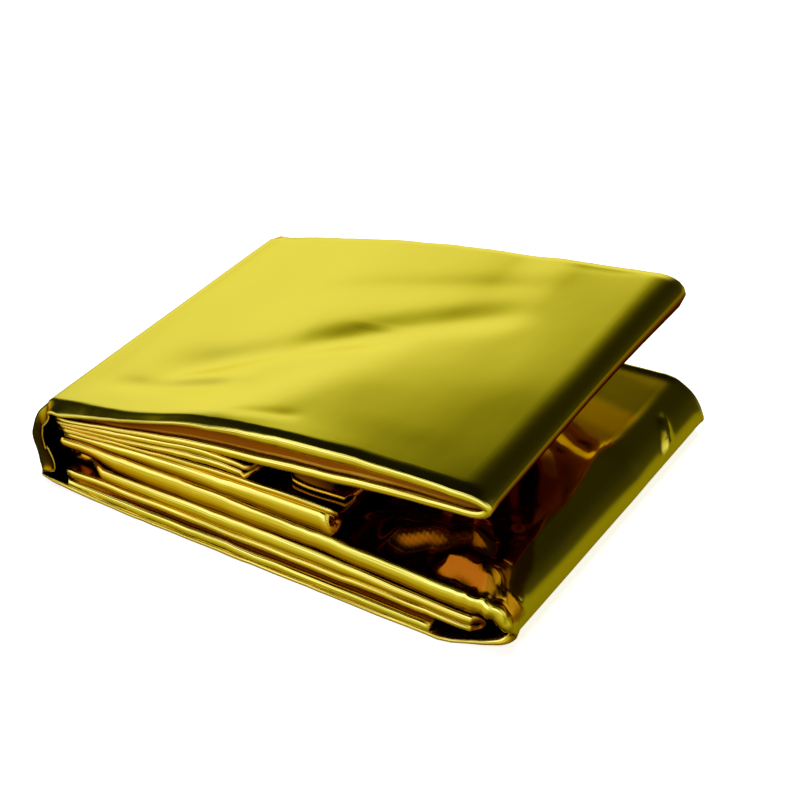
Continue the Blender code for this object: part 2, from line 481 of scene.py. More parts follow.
    # Painted shade: how much browner the hidden middle of a plain fold is painted.
    fold_shade: float = 2.6
    spine_wrap: tuple[tuple[float, float], ...] = (
        (2.0, 22.4), (0.7, 20.7), (-1.3, 18.5), (-2.4, 16.6), (-3.3, 14.6), (-4.0, 12.6), (-4.4, 10.8),
        (-3.7, 8.0), (-3.3, 5.4), (-3.1, 3.0), (-2.0, 1.3), (0.6, 0.8),
    )
    spine_recess: Row = Row((0.6, 1.6, 5.2, 6.2, 5.9, 5.2, 3.9, 2.6),
                            (0.0, 2.0, 4.0, 6.5, 8.5, 11.5, 14.5, 18.5))
    spine_rim: float = 0.4
    spine_reach: float = 2.0
    spine_steepness: tuple[float, float] = (5.0, 7.0)
    # Painted shade: how brown the spine's rolled edge is painted.
    spine_painted_shade: float = 1.6
    thick_fold: tuple[tuple[float, float], ...] = (
        (114.0, 0.7), (116.9, 1.6), (118.5, 3.8), (118.9, 6.6), (118.1, 9.5), (116.2, 11.5), (113.4, 12.1),
    )
    ridge: Row = Row((116.5, 113.6, 112.2, 112.5, 111.3, 110.2, 111.8, 112.2, 112.3),
                     (3.0, 14.0, 27.0, 40.0, 52.0, 62.0, 67.0, 76.0, 98.0))
    ridge_fall: float = 0.27
    ridge_rounding: float = 0.1
    ridge_ease: tuple[float, float] = (2.5, 8.5)
    # Painted shade: brown on the mouth's floor and in a band past its lip, and a little painted warmth on
    # outer faces.
    mouth_painted_shade_ease: tuple[float, float] = (66.0, 50.0)
    deep_shade: float = 0.25
    deep_patch: Patch = Patch(((98.0, 88.0),), ((40.0, 25.0),))
    far_gold: float = 0.5
    far_gold_ease: tuple[float, float] = (78.0, 82.0)
    lip_shade: float = 1.6
    lip_shade_ease: tuple[float, float] = (-1.5, -4.5)
    outer_shade: float = 0.15
    past_shade: float = 0.1
    painted_shade_band: float = 3.2
    painted_shade_band_ease: tuple[float, float] = (30.0, 18.0)
    band_edge: float = 0.8
    creases: dict[Zone, tuple[Crease, ...]] = field(default_factory=lambda: {
        Zone.FLAP_OVER: (
            Crease(((44.0, 36.0), (50.0, 40.5), (58.0, 46.0), (67.0, 51.5), (79.0, 60.0), (93.0, 70.0)),
                   5.5, 6.5, 0.64),
            Crease(((16.0, 17.5), (26.0, 23.5), (34.0, 28.0), (42.0, 32.5), (50.0, 38.0), (58.0, 42.0),
                    (74.0, 46.5)), 4.5, 7.0, 0.66),
            Crease(((14.0, 26.0), (30.0, 28.5), (46.0, 32.0)), 6.0, 6.0, 0.12),
            Crease(((50.0, 51.0), (60.0, 50.0), (70.0, 49.5)), 1.1, 1.1, -0.07),
            Crease(((28.0, 62.0), (44.0, 66.5), (56.0, 69.0), (66.0, 72.0), (80.0, 76.0), (96.0, 79.0)),
                   8.0, 5.0, 0.27),
            Crease(((84.0, 88.0), (98.0, 88.7), (114.0, 91.5)), 1.0, 1.0, 0.05),
            Crease(((-10.0, 17.0), (26.0, 17.0), (64.0, 17.0)), 8.0, 30.0, 0.22),
            Crease(((8.0, 13.5), (26.0, 14.0), (46.0, 15.5)), 2.4, 3.4, 0.27),
            Crease(((22.0, 20.0), (50.0, 20.7)), 2.5, 2.5, -0.12),
            Crease(((48.0, 5.0), (56.0, 6.6), (68.0, 8.6)), 1.6, 2.0, 0.13),
            Crease(((24.0, -40.0), (47.0, 1.0), (54.0, 12.0), (67.0, 30.0), (76.0, 48.0)), 9.0, 7.0, -0.38),
            Crease(((56.0, 20.0), (74.0, 28.0), (90.0, 36.0), (114.0, 44.0)), 13.0, 20.0, -0.34),
            Crease(((48.0, 16.0), (70.0, 16.0), (104.0, 16.0)), 9.0, 14.0, -0.22),
            Crease(((74.0, 100.0), (140.0, 100.0)), 34.0, 10.0, -1.45),
        ),
        Zone.STACK_TOP: (
            Crease(((99.0, 6.0), (103.0, 7.2), (107.0, 8.0), (112.0, 7.8), (116.5, 7.0)),
                   3.1, 9.0, -5.2, True),
            Crease(((84.0, 8.4), (92.0, 12.2), (100.0, 16.6), (108.0, 20.0)), 2.2, 6.0, -3.3),
            Crease(((72.0, 10.0), (92.0, 22.0)), 1.5, 4.0, -0.5, True),
            Crease(((95.0, 57.0), (104.0, 45.0), (111.0, 28.0)), 4.0, 5.0, -1.5, True),
            Crease(((96.0, 43.0), (103.0, 33.0), (109.0, 22.0)), 3.0, 3.0, -0.9, True),
            Crease(((96.0, 67.0), (104.0, 62.0), (112.0, 60.0)), 3.0, 3.0, 0.5, True),
            Crease(((96.0, 60.4), (105.0, 58.0)), 0.8, 2.0, -0.3, True),
            Crease(((94.0, 81.5), (116.0, 79.0)), 10.0, 12.0, 0.25, True),
        ),
        Zone.THICK_FOLD: (
            Crease(((115.0, 85.0), (118.5, 80.0), (122.0, 74.5)), 1.3, 1.3, -1.3, True),
            Crease(((114.0, 6.2), (118.0, 7.4), (122.0, 8.6)), 1.9, 2.5, -2.6, True),
        ),
    })

    def spots(self) -> list[Spot]:
        """Return the places round the cross-section: outer face, far rim, inner face, near rim."""
        ring = []
        for turn, count in ((OUTSIDE, self.outer_across), (INSIDE, self.inner_across)):
            face = [Spot(turn, inset, 0.0) for inset in self.edge_insets]
            face += [Spot(turn, self.edge_zone, (i / count) ** self.across_bias) for i in range(count + 1)]
            face += [Spot(turn, inset, 1.0) for inset in reversed(self.edge_insets)]
            rim = [Spot(blend(turn, -turn, i / self.rim_steps), 0.0, 1.0) for i in range(1, self.rim_steps)]
            if turn == INSIDE:
                face.reverse()
                rim = [Spot(spot.turn, 0.0, 0.0) for spot in rim]
            ring += face + rim
        return ring

    def lay_layer(self, layer: Layer) -> list[Stop]:
        """Return the stops along one layer.

        Args:
            layer: The layer.

        Returns:
            The stops, from its first end to its last.
        """
        count = math.ceil(abs(layer.x_to - layer.x_from) / layer.step)
        outer_up = layer.x_to < layer.x_from
        stops = []
        for i in range(count + 1):
            x = blend(layer.x_from, layer.x_to, i / count)
            z = layer.heights.at(x)
            above, below = layer.roll_top.at(x) - z, z - layer.roll_low.at(x)
            share = x / ENDS[1]
            stops.append(Stop(
                zone=layer.zone, x=x, z=z, near=layer.near.at(x),
                far=blend(*layer.far.values, share**self.far_edge_bend), stack=layer.stack,
                out=above if outer_up else below, inside=below if outer_up else above,
                reach=layer.reach.at(x), bow=layer.bow, crest=layer.crest,
                web_out=layer.web_out.at(x), web_in=layer.web_in.at(x), painted_reflection=layer.painted_reflection,
                roll_painted_shade=layer.roll_painted_shade.at(x), underside_painted_shade=layer.underside_painted_shade,
            ))
        return stops

    def lay_fold(self, before: Stop, after: Stop, reach: float) -> list[Stop]:
        """Return the stops of a plain fold, as half an ellipse.

        Args:
            before: The last stop of the layer before the fold.
            after: The first stop of the layer after it.
            reach: How far the fold stands out past the two.

        Returns:
            The stops between the two.
        """
        outward = reach if before.x > self.width / 2 else -reach
        stops = []
        for i in range(1, self.arc_steps):
            share = i / self.arc_steps
            x = blend(before.x, after.x, share) + outward * math.sin(math.pi * share)
            z = blend(after.z, before.z, (1.0 + math.cos(math.pi * share)) / 2)
            if before.zone is Zone.FLAP_UNDER:
                stops.append(before.toward(after, share, Zone.FLAP_OVER, x, z))
                continue
            stop = before.toward(after, share, Zone.FOLD, x, z)
            hidden = math.sin(math.pi * share)
            # Painted shade: the fold's hidden middle is set in and painted browner.
            stops.append(replace(
                stop, near=stop.near + self.fold_inset * hidden,
                out=stop.out * (1.0 - self.fold_shrink * hidden),
                roll_painted_shade=stop.roll_painted_shade + self.fold_shade * math.sqrt(hidden),
            ))
        return stops

    def lay_bend(
        self, before: Stop, after: Stop, zone: Zone, outline: tuple[tuple[float, float], ...],
    ) -> list[Stop]:
        """Return the stops of a wide bend, on a smooth curve.

        Args:
            before: The last stop of the layer before the bend.
            after: The first stop of the layer after it.
            zone: The zone of the new stops.
            outline: The places in X and Z that the bend passes through.

        Returns:
            The stops between the two layers.
        """
        knots = [(before.x, before.z), *outline, (after.x, after.z)]
        knots = [knots[0], *knots, knots[-1]]
        spans = len(knots) - 3
        stops = []
        for i in range(1, self.bend_steps):
            share = i / self.bend_steps
            k = int(share * spans)
            x, z = (curve_through(*(knot[n] for knot in knots[k:k + 4]), share * spans - k) for n in (0, 1))
            stop = before.toward(after, share, zone, x, z)
            if zone is Zone.SPINE:
                first, last = self.spine_steepness
                bulge = smooth(first * share) * smooth(last * (1.0 - share))
                recess = self.spine_recess.at(z)
                stop = replace(
                    stop, bow=1.0, reach=blend(stop.reach, self.spine_reach, bulge),
                    out=blend(stop.out, -recess, bulge),
                    inside=blend(stop.inside, recess + self.spine_rim, bulge),
                )
            stops.append(stop)
        return stops

    def section(self) -> list[Stop]:
        """Return the stops along the whole strip, with their run along it and their normals."""
        strip = self.lay_layer(self.layers[0])
        for before, layer, reach in zip(self.layers, self.layers[1:], self.fold_reach):
            stops = self.lay_layer(layer)
            if layer.zone is Zone.BASE:
                strip += self.lay_bend(strip[-1], stops[0], Zone.SPINE, self.spine_wrap)
            elif before.zone is Zone.BASE:
                strip += self.lay_bend(strip[-1], stops[0], Zone.THICK_FOLD, self.thick_fold)
            else:
                strip += self.lay_fold(strip[-1], stops[0], reach)
            strip += stops
        return self.measured(strip)

    @staticmethod
    def measured(strip: list[Stop]) -> list[Stop]:
        """Return the stops of the strip with their run along it and their normals in X and Z.

        Args:
            strip: The stops in order, without run or normal.

        Returns:
            The same stops with both.
        """
        run, done = 0.0, []
        for i, stop in enumerate(strip):
            before, after = strip[max(i - 1, 0)], strip[min(i + 1, len(strip) - 1)]
            run += math.hypot(stop.x - before.x, stop.z - before.z)
            dx, dz = after.x - before.x, after.z - before.z
            length = math.hypot(dx, dz)
            done.append(replace(stop, run=run, normal=(dz / length, -dx / length)))
        return done

    @staticmethod
    def crumple(place: Vector, cell: float) -> float:
        """Return the height of crumpled film at a place: flat facets that meet in sharp edges.

        Args:
            place: The place, in millimetres.
            cell: The size of a facet.

        Returns:
            A height from about -1 to 1.
        """
        height = 0.0
        drift = FACET_DRIFT[0] * noise.noise(place / (FACET_DRIFT[1] * cell))
        for direction, share in FACETS:
            turn = place.dot(Vector(direction)) / cell + drift
            height += share * (4.0 * abs(turn - math.floor(turn + 0.5)) - 1.0)
        return height / FACET_TOTAL

    def relief(self, stop: Stop, x: float, y: float, past: float) -> float:
        """Return how far the film stands out along its normal at a place.

        Args:
            stop: The stop of the section there.
            x: The place along X.
            y: The place along Y.
            past: How far the place lies past the mouth's lip.

        Returns:
            The distance, in millimetres.
        """
        lift = self.creased(stop.zone, x, y)
        if stop.zone is Zone.FLAP_OVER:
            lift *= ease(x, *self.flap_crease_ease)
        if stop.zone in MOUTH:
            lift = lift if stop.zone is Zone.THICK_FOLD else 0.0
            lift += self.creased(Zone.STACK_TOP, x, y) * ease(past, *self.mouth_past_ease)
            lift += self.lip * math.exp(-(past / self.lip_width) ** 2) * ease(y, *self.lip_ease)
            lift *= ease(stop.z, *self.mouth_height_ease)
        lift *= ease(y, *self.crease_ease)
        along, across, up = self.wave_cells
        place = Vector((x / along, y / across, self.wave_shift * stop.stack + stop.z / up))
        lift += self.wave * noise.noise(place)
        if stop.zone is Zone.FLAP_UNDER:
            lift += self.flap_crumple * self.crumple(Vector((x, y, self.flap_seed)), self.flap_cell)
        if stop.zone in MOUTH and stop.z > self.mouth_floor:
            crumpled = self.crumple(Vector((x, y, self.mouth_seed)), self.mouth_cell)
            lift += self.mouth_crumple * self.mouth_patch.share(x, y) * crumpled
        return lift

    def creased(self, zone: Zone, x: float, y: float) -> float:
        """Return how far all the creases of a zone move the film out at a place, in millimetres."""
        return sum(crease.lift(x, y) for crease in self.creases.get(zone, ()))

    def edges(self, stop: Stop) -> tuple[float, float, float]:
        """Return how the edges lie at a stop.

        Args:
            stop: The stop of the section.

        Returns:
            How far the near and far edges are set in, and the far corner's share.
        """
        near_corner = ease(stop.x, self.near_corner[0], self.mouth) * stop.stack
        near_corner *= self.corner_shares.get(stop.zone, self.corner_share_within)
        if stop.zone is Zone.THICK_FOLD:
            higher = ease(stop.z, *self.fold_corner_ease)
            near_corner *= blend(1.0, self.corner_shares[Zone.STACK_TOP], higher)
        beyond = max((stop.x - self.far_corner[0]) / (self.mouth - self.far_corner[0]), 0.0)
        far_corner = beyond**2 * stop.stack
        uneven = sum(ripple.at(stop.run) for ripple in self.edge_ripples)
        near = stop.near + self.near_corner[1] * near_corner + uneven
        return near, stop.far + self.far_corner[1] * far_corner - uneven, far_corner

    def rounding(self, stop: Stop, turn: float) -> tuple[float, float]:
        """Return how far round the rim a turn lies, flatter on the half that faces down.

        Args:
            stop: The stop of the section.
            turn: The turn, in radians.

        Returns:
            Its sine and cosine.
        """
        sine, cosine = math.sin(turn), math.cos(turn)
        power = 1.0 - self.flat_below * smooth(-2.0 * sine * stop.normal[1])
        return math.copysign(abs(sine) ** power, sine), abs(cosine) ** power

    def faces(self, stop: Stop, spot: Spot, roll: float, web: float) -> tuple[float, float, float]:
        """Return how far the film's two faces stand from its middle surface.

        Args:
            stop: The stop of the section.
            spot: The place round the cross-section.
            roll: How far the point belongs to the edge's roll.
            web: How far it belongs to the pleat behind the roll.

        Returns:
            The distances of the outer and inner face, and how far the roll shapes them.
        """
        shape = roll
        if spot.middle == 1.0 and stop.out < self.half_sheet:
            shape *= self.far_roll
        open_end = spot.middle == 1.0 and stop.zone in MOUTH
        swell = sum(ripple.at(stop.run) for ripple in self.roll_ripples)
        outer = blend(self.half_sheet, stop.out, self.open_end_roll * shape if open_end else shape)
        outer += swell * roll
        outer += stop.web_out * web * (spot.turn == OUTSIDE)
        inner = blend(self.half_sheet, stop.inside, shape)
        inner -= self.swell_inside * swell * roll
        inner += stop.web_in * web * (spot.turn == INSIDE)
        return outer, inner, shape

    def place(self, stop: Stop, spot: Spot) -> tuple[Vector, tuple[float, float, float, float]]:
        """Return the place of a point of the strip, and its painted reflection, painted shade, dullness and
        roll.

        Args:
            stop: The stop of the section.
            spot: The place round the cross-section.

        Returns:
            The place, in millimetres from the spine, the near side and the ground, and the four shares.
        """
        near, far, far_corner = self.edges(stop)
        roll = (1.0 - min(spot.inset / stop.reach, 1.0)) ** stop.bow
        web = ease(spot.inset, *self.web_ease) * (spot.middle == 0.0)
        web *= ease(spot.inset, self.edge_zone, self.edge_zone - self.web_end)
        outer, inner, shape = self.faces(stop, spot, roll, web)
        crest = math.radians(stop.crest)
        turn = blend(-math.pi / 2, crest, (spot.turn - INSIDE) / (OUTSIDE - INSIDE))
        sine, cosine = self.rounding(stop, turn)
        rise = (sine + 1.0) / (self.rounding(stop, crest)[0] + 1.0)
        depth = self.rim_depth * min((outer + inner) / 2, self.rim_thickness)
        inset = spot.inset + depth * (1.0 - cosine)
        y = blend(near + inset, self.width - far - inset, spot.middle)
        share = (y - near) / (self.width - far - near)
        tip = ease(stop.x, self.flap_clear, self.mouth) * (1.0 - stop.stack)
        x = stop.x + (self.far_corner_reach * far_corner - self.flap_shorter * tip) * share
        x += self.spine_skew * max(share, 0.0) ** 2 * ease(stop.x, *self.spine_skew_ease)
        lift = blend(self.flap_far_heights.at(stop.x), self.stack_far_heights.at(stop.x), stop.stack)
        lift = blend(1.0, lift, 1.0 - (1.0 - min(share, 1.0)) ** self.cross_bow)
        z = self.half_sheet + (stop.z - self.half_sheet) * lift
        past = -1.0
        if stop.zone in MOUTH:
            past = x - self.ridge.at(y)
            fall = math.sqrt(max(past, 0.0) ** 2 + self.ridge_rounding) - math.sqrt(self.ridge_rounding)
            z -= self.ridge_fall * fall * ease(stop.z, *self.ridge_ease)
        push = rise * (outer + inner) - inner
        if stop.zone is not Zone.BASE:
            push += self.relief(stop, x, y, past) * (1.0 - shape)
        if stop.zone in MOUTH:
            crumple = self.corner_crumple * self.corner_patch.share(x, y) * ease(stop.z, *self.corner_ease)
            push += crumple * self.crumple(Vector((x, y, z)), self.corner_cells[0])
            y -= crumple * (self.crumple(Vector((z, x, y)), self.corner_cells[1]) + 0.5) * roll
        x += stop.normal[0] * push
        z += stop.normal[1] * push
        return Vector((x, y, max(z, 0.0))), self.shares(stop, spot, roll, web, sine, y, past)

    def shares(
        self, stop: Stop, spot: Spot, roll: float, web: float, sine: float, y: float, past: float,
    ) -> tuple[float, float, float, float]:
        """Return the film's painted warm reflection, painted brown shade, dullness and roll at a point.

        Args:
            stop: The stop of the section.
            spot: The place round the cross-section.
            roll: How far the point belongs to the edge's roll.
            web: How far it belongs to the pleat behind the roll.
            sine: How far it lies round the rim, from -1 to 1.
            y: Its place along Y.
            past: How far it lies past the mouth's lip.

        Returns:
            The four shares, from 0 to 1.
        """
        outer = spot.turn == OUTSIDE
        pleat = stop.web_out if outer else stop.web_in * (spot.turn == INSIDE)
        # The dull pleat behind a roll is also painted brown shade.
        dull_and_shaded = min(self.shaded_dull_web * web, 1.0) * (pleat > self.web_height)
        # Painted shade: faces inside the packet are painted fully brown; open outer faces stay gold with
        # little painted warmth.
        within = FULL_PAINTED_SHADE
        if outer and (stop.painted_reflection < GOLD_BELOW or stop.zone in (Zone.SPINE, Zone.THICK_FOLD)):
            within = min(stop.painted_reflection, self.outer_shade)
        # Painted shade: the floor of the open mouth is painted brown at the front and amber at the back.
        if outer and stop.zone in MOUTH and stop.z > self.mouth_floor:
            within = self.mouth_shade_at(stop, y, past)
        # Painted shade: the outer face of the spine's roll is painted brown, a dark band along the spine.
        if outer and stop.zone is Zone.SPINE:
            within = max(within, self.spine_painted_shade * roll)
            return min(within, 1.0), max(within - 1.0, 0.0), 0.0, roll
        # Painted shade: the undersides of the rolls are painted warmer and browner.
        under = smooth(0.5 - sine * stop.normal[1])
        shade = max(blend(within, stop.roll_painted_shade + stop.underside_painted_shade * under, roll), FULL_PAINTED_SHADE * dull_and_shaded)
        return min(shade, 1.0), min(max(shade - 1.0, 0.0), 1.0), dull_and_shaded, roll

    def mouth_shade_at(self, stop: Stop, y: float, past: float) -> float:
        """Return the mouth floor's painted shade: brown at the front, amber at the back, gold past its lip.

        Args:
            stop: The stop of the section.
            y: The place along Y.
            past: How far it lies past the mouth's lip.

        Returns:
            The painted share: painted warm reflection up to 1, and above 1 deepening into painted brown
                shade.
        """
        shade = 1.0 + ease(y, *self.mouth_painted_shade_ease)
        deeper = self.deep_shade * self.deep_patch.share(stop.x, y)
        shade += deeper - self.far_gold * ease(y, *self.far_gold_ease)
        shade = blend(min(shade, self.lip_shade), shade, ease(past, *self.lip_shade_ease))
        beyond = past - self.painted_shade_band * ease(y, *self.painted_shade_band_ease)
        return blend(self.past_shade, shade, smooth(0.5 - beyond / self.band_edge))


@dataclass
class FoilBlanket:
    """The folded film as one finished piece."""

    strip: FoldedStrip
    origin: Vector
    finish: "GoldFilm"

    def build(self) -> bpy.types.Object:
        """Return the finished piece: a grid laid round the cross-sections, closed at its seam and ends."""
        stops, ring = self.strip.section(), self.strip.spots()
        columns, rows = len(stops) - 1, len(ring)
        bm = bmesh.new()
        bmesh.ops.create_grid(bm, x_segments=columns, y_segments=rows, size=0.5)
        place = bm.verts.layers.float_vector.new("strip_place")
        # The looks are painted warm reflection, painted brown shade, dullness and how rolled the film is.
        looks = [bm.verts.layers.float.new(name) for name in ("painted_reflection", "painted_shade", "dull_and_shaded", "rolled")]
        for vert in bm.verts:
            stop = stops[round((vert.co.x + 0.5) * columns)]
            spot = ring[round((vert.co.y + 0.5) * rows) % rows]
            where, shares = self.strip.place(stop, spot)
            for look, share in zip(looks, shares):
                vert[look] = share
            vert[place] = Vector((stop.run, where.y, spot.turn / 10.0)) * MM
            vert.co = self.origin + where * MM
        bmesh.ops.remove_doubles(bm, verts=bm.verts, dist=0.001 * MM)
        ends = [edge for edge in bm.edges if edge.is_boundary]
        bmesh.ops.holes_fill(bm, edges=ends, sides=0)
        bmesh.ops.recalc_face_normals(bm, faces=bm.faces)
        mesh = bpy.data.meshes.new("foil_blanket")
        bm.to_mesh(mesh)
        bm.free()
        mesh.materials.append(self.finish.material())
        mesh.shade_smooth()
        piece = bpy.data.objects.new("foil_blanket", mesh)
        bpy.context.collection.objects.link(piece)
        return piece


@dataclass(frozen=True)
class GoldFilm:
    """Gold metallised film: yellow, with painted warm reflection between layers and painted shade in the
    folds.
    """

    outer: tuple[float, float, float, float] = (0.92, 0.81, 0.13, 1.0)
    # The amber colour and its edge tint are painted warm reflection, the glow that gold layers throw on each
    # other.
    painted_reflection: tuple[float, float, float, float] = (0.86, 0.47, 0.015, 1.0)
    # The brown colour and its edge tint are painted shade deep in the folds, recesses and mouth.
    painted_shade: tuple[float, float, float, float] = (0.30, 0.085, 0.002, 1.0)
    edge_tint: tuple[float, float, float, float] = (1.0, 0.93, 0.42, 1.0)
    painted_reflection_edge_tint: tuple[float, float, float, float] = (0.95, 0.62, 0.16, 1.0)
    painted_shade_edge_tint: tuple[float, float, float, float] = (0.30, 0.12, 0.02, 1.0)
    roughness: float = 0.16
    inner_roughness: float = 0.14
    dull_roughness: float = 0.6
    haze: float = 0.05

    def material(self) -> bpy.types.Material:
        """Return the film's material."""
        material = bpy.data.materials.new("gold_film")
        material.use_nodes = True
        tree = material.node_tree
        shader = tree.nodes["Principled BSDF"]
        shader.inputs["Metallic"].default_value = 1.0
        wrinkle = tree.nodes.new("ShaderNodeGroup")
        wrinkle.node_tree = wrinkle_group()
        tree.links.new(self.read(tree, "strip_place", "Vector"), wrinkle.inputs["Place"])
        tree.links.new(self.read(tree, "rolled", "Fac"), wrinkle.inputs["Rolled"])
        colour = self.mix(tree, "RGBA", self.outer, self.painted_reflection, self.read(tree, "painted_reflection", "Fac"))
        colour = self.mix(tree, "RGBA", colour, self.painted_shade, self.read(tree, "painted_shade", "Fac"))
        edge = self.mix(tree, "RGBA", self.edge_tint, self.painted_reflection_edge_tint, self.read(tree, "painted_reflection", "Fac"))
        edge = self.mix(tree, "RGBA", edge, self.painted_shade_edge_tint, self.read(tree, "painted_shade", "Fac"))
        tree.links.new(edge, shader.inputs["Specular Tint"])
        tree.links.new(colour, shader.inputs["Base Color"])
        gloss = self.mix(tree, "FLOAT", self.roughness, self.inner_roughness, self.read(tree, "painted_reflection", "Fac"))
        gloss = self.mix(tree, "FLOAT", gloss, self.dull_roughness, self.read(tree, "dull_and_shaded", "Fac"))
        vary = tree.nodes.new("ShaderNodeMath")
        vary.operation = "MULTIPLY_ADD"
        vary.inputs[1].default_value = self.haze
        tree.links.new(wrinkle.outputs["Haze"], vary.inputs[0])
        tree.links.new(gloss, vary.inputs[2])
        tree.links.new(vary.outputs["Value"], shader.inputs["Roughness"])
        relief = tree.nodes.new("ShaderNodeBump")
        relief.inputs["Distance"].default_value = MM
        tree.links.new(wrinkle.outputs["Height"], relief.inputs["Height"])
        tree.links.new(relief.outputs["Normal"], shader.inputs["Normal"])
        return material

    @staticmethod
    def read(tree: bpy.types.ShaderNodeTree, name: str, output: str) -> bpy.types.NodeSocket:
        """Return the socket that reads one of the piece's attributes.

        Args:
            tree: The material's nodes.
            name: The attribute's name.
            output: The output to read it from.

        Returns:
            The socket.
        """
        attribute = tree.nodes.new("ShaderNodeAttribute")
        attribute.attribute_name = name
        return attribute.outputs[output]

    @staticmethod
    def mix(
        tree: bpy.types.ShaderNodeTree,
        kind: str,
        start: float | tuple[float, ...] | bpy.types.NodeSocket,
        end: float | tuple[float, ...],
        share: bpy.types.NodeSocket,
    ) -> bpy.types.NodeSocket:
        """Return the socket that blends from one value to another.

        Args:
            tree: The material's nodes.
            kind: The kind of value, "RGBA" or "FLOAT".
            start: The value, or the socket of it, at a share of 0.
            end: The value at a share of 1.
            share: The socket of the share.

        Returns:
            The socket.
        """
        node = tree.nodes.new("ShaderNodeMix")
        node.data_type = kind
        sockets = [socket for socket in node.inputs if socket.name in ("A", "B") and socket.enabled]
        if isinstance(start, bpy.types.NodeSocket):
            tree.links.new(start, sockets[0])
        else:
            sockets[0].default_value = start
        sockets[1].default_value = end
        tree.links.new(share, node.inputs["Factor"])
        return next(socket for socket in node.outputs if socket.enabled)


class WrinkleNodes:
    """Builds the node group of the film's fine wrinkles.

    A stretch is the number of waves to a metre along the strip, across it and round its rims. A height is in
    millimetres.
    """

    PLAIN_STRETCH = (90.0, 60.0, 0.0)
    PLAIN_DETAIL = 2.0
    PLAIN_HEIGHT = 0.035
    STREAK_STRETCH = (40.0, 260.0, 600.0)
    STREAK_DETAIL = 1.0
    STREAK_HEIGHT = 0.10
    HAZE_STRETCH = (45.0, 45.0, 45.0)
    HAZE_DETAIL = 2.0

    def __init__(self) -> None:
        """Start the group with its sockets."""
        self.group = bpy.data.node_groups.new("film_wrinkles", "ShaderNodeTree")
        for name, kind in (("Place", "NodeSocketVector"), ("Rolled", "NodeSocketFloat")):
            self.group.interface.new_socket(name, in_out="INPUT", socket_type=kind)
        for name in ("Height", "Haze"):
            self.group.interface.new_socket(name, in_out="OUTPUT", socket_type="NodeSocketFloat")
        self.enter = self.group.nodes.new("NodeGroupInput")
        self.leave = self.group.nodes.new("NodeGroupOutput")

    def waves(self, stretch: tuple[float, float, float], detail: float) -> bpy.types.NodeSocket:
        """Return the socket of noise waves over the strip.

        Args:
            stretch: How many waves to a metre along the strip, across it and round its rims.
            detail: How many finer layers the waves have.

        Returns:
            The socket.
        """
        scale = self.group.nodes.new("ShaderNodeVectorMath")
        scale.operation = "MULTIPLY"
        scale.inputs[1].default_value = stretch
        self.group.links.new(self.enter.outputs["Place"], scale.inputs[0])
        waves = self.group.nodes.new("ShaderNodeTexNoise")
        waves.inputs["Scale"].default_value = 1.0
        waves.inputs["Detail"].default_value = detail
        self.group.links.new(scale.outputs["Vector"], waves.inputs["Vector"])
        return waves.outputs["Fac"]

    def combine(
        self, operation: str, first: bpy.types.NodeSocket, *others: float | bpy.types.NodeSocket,
    ) -> bpy.types.NodeSocket:
        """Return the socket of a sum of the group.

        Args:
            operation: The sum's name.
            first: Its first term.
            others: Its other terms, as sockets or numbers.

        Returns:
            The socket.
        """
        node = self.group.nodes.new("ShaderNodeMath")
        node.operation = operation
        for slot, value in zip(node.inputs, (first, *others)):
            if isinstance(value, bpy.types.NodeSocket):
                self.group.links.new(value, slot)
            else:
                slot.default_value = value
        return node.outputs["Value"]


def wrinkle_group() -> bpy.types.ShaderNodeTree:
    """Return the node group of the film's fine wrinkles: their height in millimetres, and the film's haze."""
    nodes = WrinkleNodes()
    plain = nodes.waves(nodes.PLAIN_STRETCH, nodes.PLAIN_DETAIL)
    plain = nodes.combine("MULTIPLY", plain, nodes.PLAIN_HEIGHT)
    streaks = nodes.waves(nodes.STREAK_STRETCH, nodes.STREAK_DETAIL)
    streaks = nodes.combine("MULTIPLY", streaks, nodes.enter.outputs["Rolled"])
    height = nodes.combine("MULTIPLY_ADD", streaks, nodes.STREAK_HEIGHT, plain)
    nodes.group.links.new(height, nodes.leave.inputs["Height"])
    nodes.group.links.new(nodes.waves(nodes.HAZE_STRETCH, nodes.HAZE_DETAIL), nodes.leave.inputs["Haze"])
    return nodes.group


@dataclass(frozen=True)
class Card:
    """One side of the light tent.

    faces is the direction in which it stands, and edge holds the closeness to that direction at which it
    starts and at which it is whole. ramp holds pairs of elevation in degrees and brightness. A levelled card
    is as wide at every height, and the others narrow away from the horizon.
    """

    faces: tuple[float, float, float]
    edge: tuple[float, float]
    ramp: tuple[tuple[float, float], ...]
    levelled: bool = False


